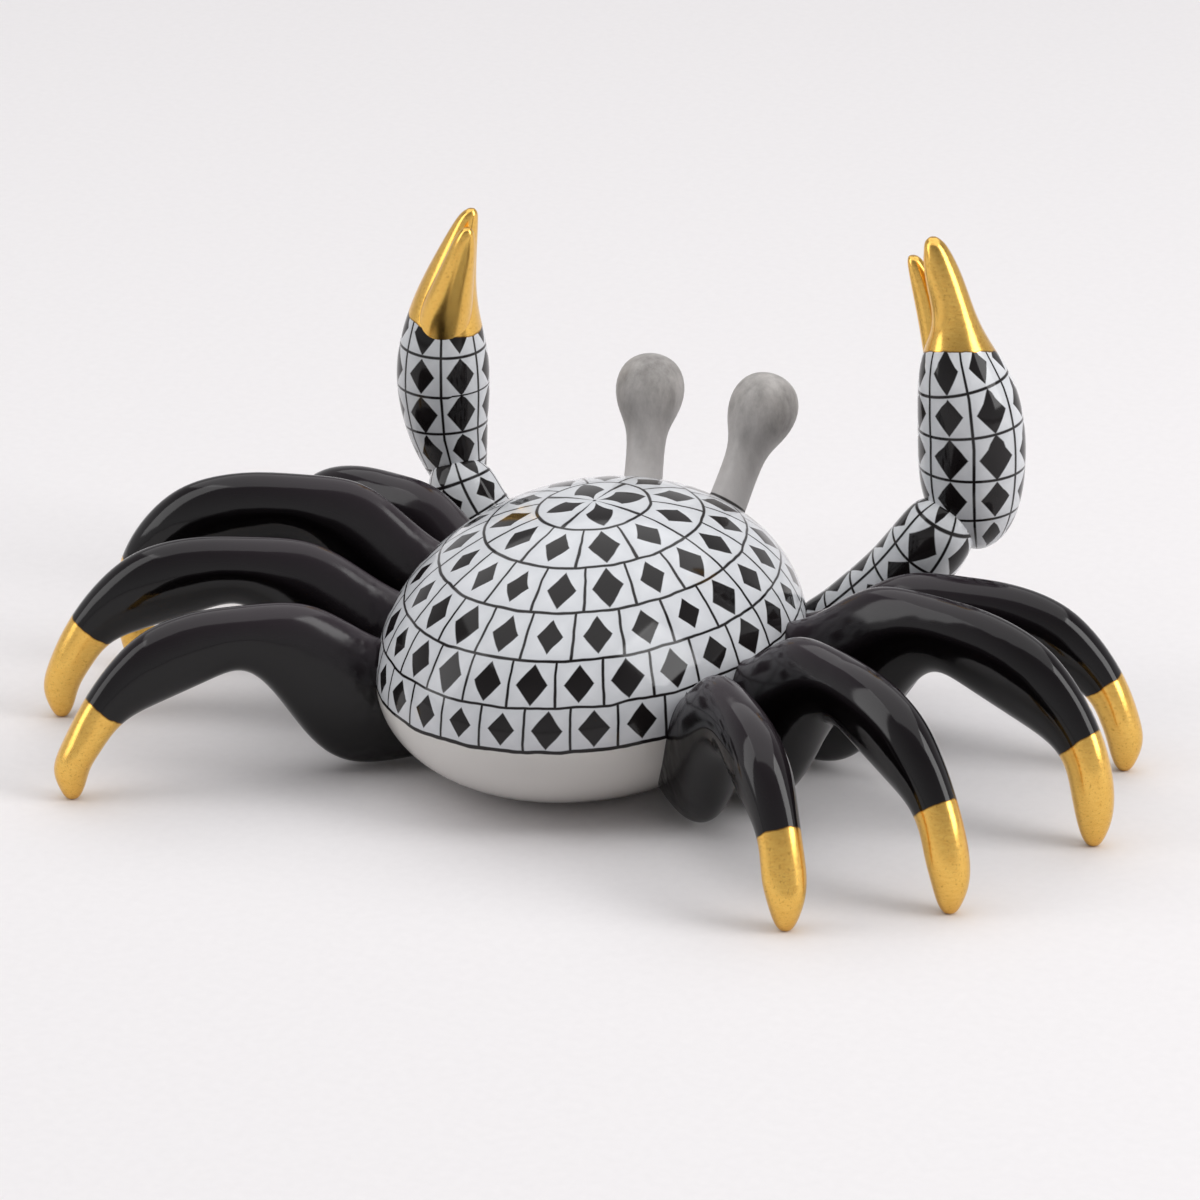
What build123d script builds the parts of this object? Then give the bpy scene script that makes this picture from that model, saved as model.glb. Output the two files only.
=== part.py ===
from build123d import *
import os
from math import acos, degrees, radians, sin, sqrt

# Crab figurine in slip-cast porcelain. Every limb is cast by itself and stuck to the hollow
# body with slip before firing, so nothing on it moves.
# Frame: origin at the centre of the flat foot under the belly, +Z up, eyes and claws towards
# -Y, the crab's own left side towards +X. All sizes are millimetres.

# Body: a dome over a bowl, meeting at the widest line, hollow and vented through its foot
BODY_WIDTH = 45.2
BODY_LENGTH = 60.0
EDGE_HEIGHT = 11.0
DOME_HEIGHT = 18.1
FOOT_LENGTH = 35.5
WALL = 3.0
VENT_DIAMETER = 4.0
VENT_SETBACK = 9.0

# Layer of slip between a limb and what it is stuck to
SLIP_SEAM = 0.1

# Legs, front pair first: where each leaves the body (as shares of its half width and half
# length), how far out and back its toe stands from there, how high it arches and how far its
# knee is pushed out
LEFT_LEGS = {
    1: ((0.80, -0.48), (34.6, -5.6), 21.5, 0.0),
    2: ((0.84, -0.22), (38.5, 10.8), 26.5, 0.06),
    3: ((0.80, 0.12), (39.6, 17.2), 23.4, -0.02),
    4: ((0.66, 0.45), (29.4, 26.5), 21.7, -0.03),
}
RIGHT_LEGS = {
    1: ((0.80, -0.48), (38.3, -5.4), 21.6, 0.0),
    2: ((0.84, -0.22), (42.0, 7.2), 25.0, 0.02),
    3: ((0.80, 0.12), (35.9, 19.8), 23.7, 0.0),
    4: ((0.74, 0.39), (23.6, 23.4), 21.6, 0.0),
}

# Side view of a leg: upper and lower end of each section, as shares of reach and height, the
# section's half width and how much of the knee's push it takes; then the level sections that
# end the toe, as height and radius
LEG_SECTIONS = (
    ((-0.28, 0.56), (-0.28, 0.12), 3.0, 0.0),
    ((-0.10, 0.58), (-0.10, 0.06), 3.6, 0.0),
    ((0.08, 0.655), (0.10, 0.02), 3.9, 0.0),
    ((0.19, 0.79), (0.23, 0.04), 3.9, 0.0),
    ((0.28, 0.90), (0.33, 0.20), 3.7, 0.0),
    ((0.37, 0.95), (0.42, 0.475), 3.3, 0.0),
    ((0.50, 0.95), (0.51, 0.63), 2.9, 0.1),
    ((0.62, 0.95), (0.60, 0.585), 3.0, 0.3),
    ((0.74, 0.91), (0.70, 0.525), 3.1, 0.6),
    ((0.86, 0.81), (0.79, 0.47), 3.0, 0.9),
    ((0.985, 0.54), (0.885, 0.40), 2.25, 1.0),
    ((1.035, 0.30), (0.925, 0.265), 2.55, 0.5),
)
TOE_SECTIONS = ((3.8, 2.15), (1.6, 1.55), (0.4, 1.0), (0.0, 0.6))

# A limb's section is two arcs that meet in a soft ridge above and below: how far the centre of
# each arc lies beyond the middle, as a share of the half width
RIDGE = 0.08

# Eyes: a ball on a stalk that leans forward and outward from its seat on the dome
EYE_BALL_RADIUS = 4.1
EYE_STALK_RADIUS = 2.3
EYE_NECK_FILLET = 3.0
EYE_SEAT = (0.24, -0.767)
EYE_LEAN = (1.7, -5.2, 9.5)
EYE_HEIGHT = 11.8

# Claws: where the arm starts inside the body, as shares of its half width and half length.
# The centres of all sections of a claw are counted from there, outwards, backwards and up from
# the table
SHOULDER = (0.487, -0.633)

# Right claw: centres and radii of the arm's sections, from inside the body to the palm, then
# of the level sections of the hand, from its heel to the end of the large finger, and of the
# small finger, which stands on the inner side of the large one
RIGHT_ARM = (
    ((0.0, 0.0, 8.5), 4.0),
    ((9.5, -5.0, 10.2), 4.2),
    ((15.2, -5.2, 15.8), 4.4),
    ((19.1, -4.9, 20.7), 4.5),
    ((21.1, -4.9, 24.2), 3.9),
    ((21.9, -5.2, 26.2), 2.2),
)
RIGHT_HAND = (
    ((23.6, -8.4, 20.3), 1.2),
    ((23.4, -8.4, 21.6), 3.2),
    ((23.1, -8.3, 24.4), 5.0),
    ((22.9, -8.2, 28.5), 6.0),
    ((22.8, -8.1, 34.0), 6.1),
    ((22.2, -7.9, 39.3), 5.6),
    ((21.3, -7.6, 43.3), 4.2),
    ((20.8, -7.5, 47.0), 2.5),
    ((19.2, -7.5, 51.8), 2.2),
    ((18.3, -7.5, 54.8), 1.5),
    ((17.9, -7.5, 55.9), 1.0),
    ((17.8, -7.5, 56.4), 0.35),
)
RIGHT_FINGER = (
    ((19.2, -8.5, 39.5), 2.0),
    ((17.7, -9.4, 44.6), 1.9),
    ((16.5, -9.6, 48.0), 1.6),
    ((15.5, -9.6, 50.9), 1.3),
    ((14.7, -9.6, 52.7), 0.85),
    ((14.5, -9.6, 53.1), 0.35),
)

# Left claw: it hangs lower and further forward, runs on smoothly from the arm, and its small
# finger lies along the back of the large one
LEFT_ARM = (
    ((0.0, 0.0, 8.5), 4.0),
    ((11.0, -8.5, 7.6), 4.2),
    ((16.6, -10.4, 9.0), 4.3),
    ((20.0, -10.6, 12.4), 4.3),
    ((22.0, -10.6, 15.8), 4.0),
    ((22.9, -10.8, 18.2), 2.4),
)
LEFT_HAND = (
    ((22.8, -12.7, 12.7), 1.0),
    ((23.0, -12.7, 14.1), 2.6),
    ((23.7, -12.6, 17.1), 3.9),
    ((24.6, -12.3, 21.6), 4.9),
    ((24.9, -12.2, 27.1), 5.6),
    ((24.8, -12.0, 31.7), 5.3),
    ((24.6, -11.8, 35.5), 4.4),
    ((24.0, -11.8, 39.6), 3.4),
    ((22.6, -11.8, 44.3), 2.3),
    ((21.4, -11.8, 47.9), 1.4),
    ((20.9, -11.8, 49.1), 0.9),
    ((20.7, -11.8, 49.6), 0.35),
)
LEFT_FINGER = (
    ((24.3, -10.8, 33.0), 3.2),
    ((23.4, -10.1, 36.8), 3.2),
    ((21.9, -9.4, 41.1), 2.4),
    ((20.6, -9.0, 44.9), 1.7),
    ((19.8, -8.7, 47.6), 1.0),
    ((19.6, -8.7, 48.3), 0.35),
)

LEFT, RIGHT = 1, -1
SIDE_NAMES = {LEFT: "left", RIGHT: "right"}
LEGS = {LEFT: LEFT_LEGS, RIGHT: RIGHT_LEGS}
ARMS = {LEFT: LEFT_ARM, RIGHT: RIGHT_ARM}
HANDS = {LEFT: LEFT_HAND, RIGHT: RIGHT_HAND}
FINGERS = {LEFT: LEFT_FINGER, RIGHT: RIGHT_FINGER}


def body_solid(grow):
    """The body's outline, grown all round by a distance."""
    length = BODY_LENGTH / 2 + grow
    width = BODY_WIDTH / 2 + grow
    dome = DOME_HEIGHT + grow
    bowl = EDGE_HEIGHT / sqrt(1 - (FOOT_LENGTH / BODY_LENGTH) ** 2) + grow
    with BuildPart() as outline:
        with BuildSketch(Plane.XZ):
            with BuildLine():
                lower = EllipticalCenterArc((0, EDGE_HEIGHT), length, bowl, start_angle=-90, arc_size=90)
                upper = EllipticalCenterArc((0, EDGE_HEIGHT), length, dome, arc_size=90)
                Line(upper @ 1, lower @ 0)
            make_face()
        revolve(axis=Axis.Z)
        scale(by=(width / length, 1, 1))
        split(bisect_by=Plane.XY.offset(-grow), keep=Keep.TOP)
    return outline.part


def ridged_oval(plane, half_width, half_height):
    """One section of a limb: a left and a right arc that meet in a soft ridge."""
    offset = RIDGE * half_width
    radius = half_width + offset
    ridge_angle = degrees(acos(offset / radius))
    sweep_angle = 2 * ridge_angle
    rise = half_height / sin(radians(ridge_angle))
    with BuildSketch(plane) as section:
        with BuildLine():
            EllipticalCenterArc((-offset, 0), radius, rise, start_angle=-ridge_angle, arc_size=sweep_angle)
            EllipticalCenterArc((offset, 0), radius, rise, start_angle=180 - ridge_angle, arc_size=sweep_angle)
        make_face()
    return section.sketch


def smooth_rows(rows):
    """The rows with one more between each two, on a smooth curve through four neighbours."""
    dense = [rows[0]]
    for i in range(1, len(rows)):
        before = rows[max(i - 2, 0)]
        after = rows[min(i + 1, len(rows) - 1)]
        near = zip(before, rows[i - 1], rows[i], after)
        dense.append([(9 * (b + c) - a - d) / 16 for a, b, c, d in near])
        dense.append(rows[i])
    return dense


def leg_solid(side, pair):
    """One leg: a tall lobe against the belly, an arch over the knee and a toe on the table."""
    root, toe, height, knee = LEGS[side][pair]
    start = Vector(side * root[0] * BODY_WIDTH / 2, root[1] * BODY_LENGTH / 2, 0)
    end = start + Vector(side * toe[0], toe[1], 0)
    along = (end - start).normalized()
    across = Vector(-along.Y, along.X, 0)
    reach = (end - start).length
    rows = []
    for upper, lower, half_width, push in LEG_SECTIONS:
        upper_out = (upper[0] + push * knee) * reach
        lower_out = (lower[0] + push * knee) * reach
        rows.append((upper_out, upper[1] * height, lower_out, lower[1] * height, half_width))
    for level, radius in TOE_SECTIONS:
        rows.append((reach + radius, level, reach - radius, level, radius))
    sections = []
    for upper_out, upper_level, lower_out, lower_level, half_width in smooth_rows(rows):
        top = start + along * upper_out + Vector(0, 0, upper_level)
        bottom = start + along * lower_out + Vector(0, 0, lower_level)
        rise = top - bottom
        plane = Plane((top + bottom) * 0.5, x_dir=across, z_dir=across.cross(rise))
        sections.append(ridged_oval(plane, half_width, rise.length / 2))
    with BuildPart() as leg:
        loft(sections)
        add(seat, mode=Mode.SUBTRACT)
    return leg.part


def claw_centre(side, offset):
    """A section's centre, counted from the shoulder of that side."""
    shoulder = Vector(side * SHOULDER[0] * BODY_WIDTH / 2, SHOULDER[1] * BODY_LENGTH / 2, 0)
    return shoulder + Vector(side * offset[0], offset[1], offset[2])


def level_limb(side, rings, grow=0.0):
    """A limb of level round sections, grown by a distance."""
    sections = []
    for offset, radius in rings:
        plane = Plane(claw_centre(side, offset))
        sections.append(ridged_oval(plane, radius + grow, radius + grow))
    with BuildPart() as limb:
        loft(sections)
    return limb.part


def arm_solid(side):
    """The forearm, its sections square to its own line, cut where it meets body and hand."""
    centres = [claw_centre(side, offset) for offset, _ in ARMS[side]]
    sections = []
    for i, (_, radius) in enumerate(ARMS[side]):
        line = centres[min(i + 1, len(centres) - 1)] - centres[max(i - 1, 0)]
        sections.append(ridged_oval(Plane(centres[i], x_dir=(0, 1, 0), z_dir=line), radius, radius))
    with BuildPart() as arm:
        loft(sections)
        add(seat, mode=Mode.SUBTRACT)
        add(level_limb(side, HANDS[side], SLIP_SEAM), mode=Mode.SUBTRACT)
    return arm.part


def finger_solid(side):
    """The small finger, cut where it meets the palm and the large finger."""
    with BuildPart() as finger:
        add(level_limb(side, FINGERS[side]))
        add(level_limb(side, HANDS[side], SLIP_SEAM), mode=Mode.SUBTRACT)
    return finger.part


def eye_solid(side):
    """An eye ball on its stalk, cut to the dome."""
    x, y = EYE_SEAT
    rise = sqrt(1 - x**2 - y**2)
    foot = Vector(side * x * BODY_WIDTH / 2, y * BODY_LENGTH / 2, EDGE_HEIGHT + DOME_HEIGHT * rise)
    lean = Vector(side * EYE_LEAN[0], EYE_LEAN[1], EYE_LEAN[2])
    with BuildPart() as eye:
        with Locations(Plane(foot, z_dir=lean)):
            Cylinder(EYE_STALK_RADIUS, 2 * EYE_HEIGHT)
            with Locations((0, 0, EYE_HEIGHT)):
                Sphere(EYE_BALL_RADIUS)
        neck = eye.edges(Select.LAST)
        fillet(neck.filter_by(GeomType.CIRCLE).sort_by(SortBy.LENGTH)[-1], EYE_NECK_FILLET)
        add(seat, mode=Mode.SUBTRACT)
    return eye.part


seat = body_solid(SLIP_SEAM)

with BuildPart() as body:
    add(body_solid(0))
    add(body_solid(-WALL), mode=Mode.SUBTRACT)
    with Locations((0, VENT_SETBACK, 0)):
        Cylinder(VENT_DIAMETER / 2, 4 * WALL, mode=Mode.SUBTRACT)

pieces = {"body_shell": body.part}
for side, side_name in SIDE_NAMES.items():
    for pair in LEGS[side]:
        pieces[f"leg_{side_name}_{pair}"] = leg_solid(side, pair)
    pieces[f"arm_{side_name}"] = arm_solid(side)
    pieces[f"hand_{side_name}"] = level_limb(side, HANDS[side])
    pieces[f"finger_{side_name}"] = finger_solid(side)
    pieces[f"eye_{side_name}"] = eye_solid(side)

os.makedirs("parts", exist_ok=True)
for name, piece in pieces.items():
    piece.label = name
    export_step(piece, f"parts/{name}.step")
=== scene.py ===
"""Crab figurine of painted and gilded porcelain, modelled and glazed around its CAD frame."""
import logging
import math
from dataclasses import dataclass, field
from enum import Enum
from typing import Any

import bpy
from mathutils import Matrix, Vector


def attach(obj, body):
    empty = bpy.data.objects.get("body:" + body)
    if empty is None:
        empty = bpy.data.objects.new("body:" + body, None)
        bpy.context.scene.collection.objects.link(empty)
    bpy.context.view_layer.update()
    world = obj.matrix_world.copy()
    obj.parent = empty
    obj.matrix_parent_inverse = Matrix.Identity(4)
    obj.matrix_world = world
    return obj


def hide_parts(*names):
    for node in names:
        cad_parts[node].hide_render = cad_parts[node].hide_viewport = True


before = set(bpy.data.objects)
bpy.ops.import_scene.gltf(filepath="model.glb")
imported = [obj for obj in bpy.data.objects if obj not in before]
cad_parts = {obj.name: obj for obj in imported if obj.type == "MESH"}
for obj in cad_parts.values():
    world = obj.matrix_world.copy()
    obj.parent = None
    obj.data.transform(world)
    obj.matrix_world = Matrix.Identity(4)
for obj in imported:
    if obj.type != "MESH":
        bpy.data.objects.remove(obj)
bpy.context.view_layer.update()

Material = bpy.types.Material
Node = bpy.types.Node
NodeSocket = bpy.types.NodeSocket
Object = bpy.types.Object
Pair = tuple[float, float]
Triple = tuple[float, float, float]
Row = tuple[float, ...]
Ring = tuple[Triple, float]

MM = 0.001
BODY_NAME = "root"
# The claws' white is lighter than the body's: painted light for their upright faces, which get less of the
# lamps.
CLAW_WHITE_PAINTED_LIGHT = "#EBEDF0"
ORIGIN = Vector((0.0, 0.0, 0.0))
SMOOTH_ANGLE = math.radians(50)
# How far limbs run into the body and into the palm, in millimetres, so that no seam stays open.
SEAT_DEPTH = 0.15
PALM_DEPTH = 0.25

log = logging.getLogger("crab")


class Side(Enum):
    """The crab's own sides, as the sign of X."""

    LEFT = 1
    RIGHT = -1

    @property
    def word(self) -> str:
        """The side's name as the CAD nodes spell it."""
        return self.name.lower()


class Slot(Enum):
    """Names of the material slots."""

    PAINTED = "painted_glaze"
    BLACK = "black_glaze"
    GILDING = "gilding"
    EYE = "eye_bisque"


def linear(colour: str) -> tuple[float, float, float, float]:
    """Turns an sRGB hex colour to linear values.

    Args:
        colour: six hex digits after a hash sign.

    Returns:
        Linear red, green and blue, and an alpha of one.
    """
    shares = [int(colour[i:i + 2], 16) / 255 for i in (1, 3, 5)]
    levels = [c / 12.92 if c <= 0.04045 else ((c + 0.055) / 1.055) ** 2.4 for c in shares]
    return (levels[0], levels[1], levels[2], 1.0)


@dataclass
class Bench:
    """A node tree at work: its owner, its shader, and the object coordinates that its textures use."""

    owner: bpy.types.ID
    shader: Node
    place: NodeSocket | None = None

    def feed(self, node: Node, inputs: dict[Any, Any]) -> None:
        """Links a node's sockets or sets their values.

        Args:
            node: node to feed.
            inputs: for each socket a node (its first output in use), a socket, a hex colour or a value.
        """
        for key, value in inputs.items():
            if isinstance(value, Node):
                value = next(output for output in value.outputs if output.enabled)
            if isinstance(value, NodeSocket):
                self.owner.node_tree.links.new(value, node.inputs[key])
            else:
                node.inputs[key].default_value = linear(value) if isinstance(value, str) else value

    def add(self, kind: str, inputs: dict[Any, Any] | None = None, **settings: Any) -> Node:
        """Adds a node with its settings and links.

        A mix node counts its factor 0, its two numbers 2 and 3, and its two colours 6 and 7.

        Args:
            kind: the shader node's type, after its common prefix.
            inputs: what goes into its sockets.
            settings: the node's own properties.

        Returns:
            The new node.
        """
        node = self.owner.node_tree.nodes.new(f"ShaderNode{kind}")
        for name, value in settings.items():
            setattr(node, name, value)
        self.feed(node, inputs or {})
        return node

    def done(self, inputs: dict[Any, Any]) -> Material:
        """Feeds the shader and gives the finished material."""
        self.feed(self.shader, inputs)
        return self.owner


@dataclass(frozen=True)
class BodyForm:
    """The body's outline in millimetres: a dome over a bowl that meet at the widest line."""

    half_width: float = 22.6
    half_length: float = 30.0
    edge_height: float = 11.0
    dome_height: float = 18.1
    foot_half_length: float = 17.75
    wall: float = 3.0
    vent_radius: float = 2.0
    vent_setback: float = 9.0

    @property
    def belly(self) -> float:
        """Depth of the full bowl, of which the flat foot cuts off the end."""
        return self.edge_height / math.sqrt(1 - (self.foot_half_length / self.half_length) ** 2)


BODY = BodyForm()


@dataclass(frozen=True)
class Finish:
    """What every finish has: a name, a blank material with one shader, and the dome as a measure."""

    name: str

    def blank(self) -> Bench:
        """Makes an empty material with a principled shader and object coordinates."""
        material = bpy.data.materials.new(self.name)
        material.use_nodes = True
        nodes = material.node_tree.nodes
        nodes.clear()
        bench = Bench(material, nodes.new("ShaderNodeBsdfPrincipled"))
        bench.add("OutputMaterial", {"Surface": bench.shader})
        bench.place = bench.add("TexCoord").outputs["Object"]
        return bench

    def dome_unit(self, bench: Bench, place: Node | NodeSocket) -> Node:
        """Squeezes coordinates so that the dome becomes half a ball with a radius of one.

        Args:
            bench: the material's nodes.
            place: object coordinates.

        Returns:
            The squeezed coordinates.
        """
        scale = [1 / (size * MM) for size in (BODY.half_width, BODY.half_length, BODY.dome_height)]
        sink = (0.0, 0.0, -BODY.edge_height / BODY.dome_height)
        return bench.add("Mapping", {"Vector": place, "Scale": scale, "Location": sink})


@dataclass(frozen=True)
class Gilding:
    """Burnished gold fired on over the glaze: warm, satin, with fine polishing streaks and specks."""

    pale: str = "#F6CD70"
    deep: str = "#DFA84E"
    edge: str = "#6B4418"
    speck: str = "#A8782F"
    edge_width: float = 0.22
    edge_blur: float = 0.04
    wave: float = 0.4
    wave_length: float = 2.4
    roughness: float = 0.16
    streak_roughness: float = 0.14
    streak_width: float = 0.28
    streak_stretch: Triple = (0.3, 0.3, 1.0)
    speck_width: float = 0.26
    speck_span: Pair = (0.58, 0.74)
    speck_strength: float = 0.55

    def coat(self, bench: Bench) -> tuple[Node, Node, Node]:
        """Lays the gold on: past its hand-painted edge, measured by the piece's own attribute.

        Args:
            bench: the material's nodes.

        Returns:
            The gold's mask, its colour and its roughness.
        """
        gilt = bench.add("Attribute", attribute_name="gilt_mm")
        wobble = bench.add("TexNoise", {"Vector": bench.place, "Scale": 1 / (self.wave_length * MM),
                                        "Detail": 2.0})
        centred = bench.add("Math", {0: wobble, 1: 0.5}, operation="SUBTRACT")
        depth = bench.add("Math", {0: centred, 1: 2 * self.wave, 2: gilt.outputs["Fac"]},
                          operation="MULTIPLY_ADD")
        blur = self.edge_blur
        mask = bench.add("MapRange", {"Value": depth, "From Min": -blur, "From Max": blur})
        stretch = bench.add("Mapping", {"Vector": bench.place, "Scale": self.streak_stretch})
        streak = bench.add("TexNoise", {"Vector": stretch, "Scale": 1 / (self.streak_width * MM),
                                        "Detail": 4.0, "Roughness": 0.65})
        body = bench.add("Mix", {0: streak, 6: self.deep, 7: self.pale}, data_type="RGBA")
        grain = bench.add("TexNoise", {"Vector": bench.place, "Scale": 1 / (self.speck_width * MM),
                                       "Detail": 2.0})
        low, high = self.speck_span
        specks = bench.add("MapRange", {"Value": grain, "From Min": low, "From Max": high,
                                        "To Max": self.speck_strength})
        worn = bench.add("Mix", {0: specks, 6: body, 7: self.speck}, data_type="RGBA")
        rim = bench.add("MapRange", {"Value": depth, "From Max": self.edge_width})
        gold = bench.add("Mix", {0: rim, 6: self.edge, 7: worn}, data_type="RGBA")
        satin = bench.add("Math", {0: streak, 1: self.streak_roughness, 2: self.roughness},
                          operation="MULTIPLY_ADD")
        return mask, gold, satin


@dataclass(frozen=True)
class BlackGlaze(Finish):
    """Plum-black glaze poured over porcelain: glossy and wavy, creased at the roots, with a painted sheen of
    lighter plum on upward faces near the body.
    """

    name: str = "black_glaze_with_gilded_toes"
    glaze_black: str = "#080607"
    # Painted sheen: a lighter plum on faces that point up, strongest near the body and fading along the leg,
    # in place of a reflected glow.
    painted_sheen: str = "#3C343A"
    roughness: float = 0.1
    root_roughness: float = 0.25
    root_reach: float = 0.6
    sheen_slope: Pair = (0.1, 0.8)
    sheen_reach: float = 1.3
    sheen_far: float = 0.15
    specular: float = 0.34
    wave_length: float = 8.0
    wave_height: float = 0.24
    crease_length: float = 1.8
    crease_height: float = 0.3
    crease_reach: float = 0.22
    bump_strength: float = 0.7
    gilding: Gilding = field(default_factory=Gilding)

    def near_body(self, bench: Bench, reach: float, near: float, far: float) -> Node:
        """A value that runs from one level at the body to another further out.

        Args:
            bench: the material's nodes.
            reach: where it ends, in shares of the body's half sizes beyond its edge.
            near: level at the body.
            far: level from there on.

        Returns:
            The node with the value.
        """
        scale = (1 / (BODY.half_width * MM), 1 / (BODY.half_length * MM), 0.0)
        unit = bench.add("Mapping", {"Vector": bench.place, "Scale": scale})
        out = bench.add("VectorMath", {0: unit}, operation="LENGTH")
        return bench.add("MapRange", {"Value": out, "From Min": 1.0, "From Max": 1.0 + reach, "To Min": near,
                                      "To Max": far})

    def relief(self, bench: Bench) -> Node:
        """Waves in the glaze, and creases where a leg is stuck on.

        Args:
            bench: the material's nodes.

        Returns:
            The bump node.
        """
        pool, crinkle = (
            bench.add("TexNoise", {"Vector": bench.place, "Scale": 1 / (length * MM), "Detail": detail})
            for length, detail in ((self.wave_length, 2.0), (self.crease_length, 1.0)))
        fade = self.near_body(bench, self.crease_reach, self.crease_height, 0.0)
        crease = bench.add("Math", {0: crinkle, 1: fade}, operation="MULTIPLY")
        height = bench.add("Math", {0: pool, 1: self.wave_height, 2: crease}, operation="MULTIPLY_ADD")
        return bench.add("Bump", {"Strength": self.bump_strength, "Distance": MM, "Height": height})

    def material(self) -> Material:
        """Makes the material."""
        bench = self.blank()
        mask, gold, satin = self.gilding.coat(bench)
        # Painted sheen: upward faces near the body get the lighter plum in place of a reflected glow.
        faces_up = bench.add("Attribute", attribute_name="faces_up")
        low, high = self.sheen_slope
        upper = bench.add("MapRange", {"Value": faces_up.outputs["Fac"], "From Min": low, "From Max": high})
        spread = self.near_body(bench, self.sheen_reach, 1.0, self.sheen_far)
        painted_sheen_mask = bench.add("Math", {0: upper, 1: spread}, operation="MULTIPLY")
        black = bench.add("Mix", {0: painted_sheen_mask, 6: self.glaze_black, 7: self.painted_sheen}, data_type="RGBA")
        tone = bench.add("Mix", {0: mask, 6: black, 7: gold}, data_type="RGBA")
        dull = self.near_body(bench, self.root_reach, self.root_roughness, self.roughness)
        rough = bench.add("Mix", {0: mask, 2: dull, 3: satin})
        return bench.done({"Base Color": tone, "Metallic": mask, "Roughness": rough,
                           "Specular IOR Level": self.specular, "Normal": self.relief(bench)})


@dataclass(frozen=True)
class PaintedGlaze(Finish):
    """White porcelain under clear glaze, with fine brush lines in rings and a lozenge in each field."""

    name: str = "white_glaze_with_brush_lines"
    white: str = "#DFE1E5"
    wash: str = "#BEC1C6"
    wash_reach: float = 1.6
    wash_strength: float = 0.35
    # Below the widest line: a warmer white, painted bounce light from the warm table.
    bowl: str = "#E2DFDB"
    ink: str = "#0E0C0C"
    thin_ink: str = "#242021"
    line: float = 0.17
    line_blur: float = 0.05
    edge_blur: float = 0.08
    field_width: float = 5.6
    field_height: float = 5.6
    lozenge_width: float = 1.75
    lozenge_height: float = 2.3
    lozenge_sizes: Pair = (0.84, 1.12)
    lozenge_blur: float = 0.04
    brush_wobble: float = 0.7
    brush_length: float = 5.0
    roughness: float = 0.09
    specular: float = 0.3
    rings: int = 0
    fields_round: int = 29
    gilding: Gilding | None = None

    def ink_mask(self, bench: Bench, turn: Node, climb: Node, count: Node | int) -> tuple[Node, Node]:
        """Draws the rings, the lines between the fields and the lozenges.

        Args:
            bench: the material's nodes.
            turn: share of a turn round the piece.
            climb: number of the ring, with its fraction.
            count: fields in a ring.

        Returns:
            The ink mask, and the distance to the nearest line in millimetres.
        """
        around = bench.add("Math", {0: turn, 1: count}, operation="MULTIPLY")
        edges = []
        middles = []
        for value, size in ((around, self.field_width), (climb, self.field_height)):
            share = bench.add("Math", {0: value}, operation="FRACT")
            off = bench.add("Math", {0: share, 1: 0.5}, operation="SUBTRACT")
            apart = bench.add("Math", {0: off}, operation="ABSOLUTE")
            middles.append(bench.add("Math", {0: apart, 1: size}, operation="MULTIPLY"))
            edges.append(bench.add("Math", {0: size / 2, 1: middles[-1]}, operation="SUBTRACT"))
        nearest = bench.add("Math", {0: edges[0], 1: edges[1]}, operation="MINIMUM")
        lines = bench.add("MapRange", {"Value": nearest, "From Min": self.line - self.line_blur,
                                       "From Max": self.line + self.line_blur, "To Min": 1.0, "To Max": 0.0})
        wide = bench.add("Math", {0: middles[0], 1: self.lozenge_width}, operation="DIVIDE")
        reach = bench.add("Math", {0: middles[1], 1: 1 / self.lozenge_height, 2: wide},
                          operation="MULTIPLY_ADD")
        cell = bench.add("CombineXYZ", {0: around, 1: climb})
        corner = bench.add("VectorMath", {0: cell}, operation="FLOOR")
        chance = bench.add("TexWhiteNoise", {"Vector": corner}, noise_dimensions="2D")
        small, large = self.lozenge_sizes
        size = bench.add("MapRange", {"Value": chance, "To Min": small, "To Max": large})
        far = bench.add("Math", {0: reach, 1: size}, operation="DIVIDE")
        lozenge = bench.add("MapRange", {"Value": far, "From Min": 1.0 - self.lozenge_blur,
                                         "From Max": 1.0 + self.lozenge_blur, "To Min": 1.0, "To Max": 0.0})
        return bench.add("Math", {0: lines, 1: lozenge}, operation="MAXIMUM"), nearest

    def turn_of(self, bench: Bench, parts: Node) -> Node:
        """Turns X and Y of a split vector into a share of a turn, from 0 to 1."""
        angle = bench.add("Math", {0: parts.outputs[1], 1: parts.outputs[0]}, operation="ARCTAN2")
        return bench.add("Math", {0: angle, 1: 1 / math.tau, 2: 0.5}, operation="MULTIPLY_ADD")

    def dome_place(self, bench: Bench, place: Node) -> tuple[Node, Node, Node]:
        """Places the pattern on the dome, in rings round its top.

        Args:
            bench: the material's nodes.
            place: object coordinates, with the brush's wobble.

        Returns:
            Share of a turn, ring number and fields in that ring.
        """
        way = bench.add("VectorMath", {0: self.dome_unit(bench, place)}, operation="NORMALIZE")
        parts = bench.add("SeparateXYZ", {0: way})
        fall = bench.add("Math", {0: parts.outputs[2]}, operation="ARCCOSINE")
        step = math.pi / 2 / self.rings
        climb = bench.add("Math", {0: fall, 1: 1 / step}, operation="MULTIPLY")
        ring = bench.add("Math", {0: climb}, operation="FLOOR")
        middle = bench.add("Math", {0: ring, 1: step, 2: step / 2}, operation="MULTIPLY_ADD")
        girth = bench.add("Math", {0: middle}, operation="SINE")
        fields = bench.add("Math", {0: girth, 1: self.fields_round}, operation="MULTIPLY")
        count = bench.add("Math", {0: fields}, operation="ROUND")
        return self.turn_of(bench, parts), climb, count

    def limb_place(self, bench: Bench) -> tuple[Node, Node, int]:
        """Places the pattern on a limb by its own attribute, in rings along it.

        Args:
            bench: the material's nodes.

        Returns:
            Share of a turn, ring number and fields in that ring.
        """
        place = bench.add("Attribute", attribute_name="place")
        parts = bench.add("SeparateXYZ", {0: place.outputs["Vector"]})
        climb = bench.add("Math", {0: parts.outputs[2], 1: 1 / self.field_height}, operation="MULTIPLY")
        return self.turn_of(bench, parts), climb, self.fields_round

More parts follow.
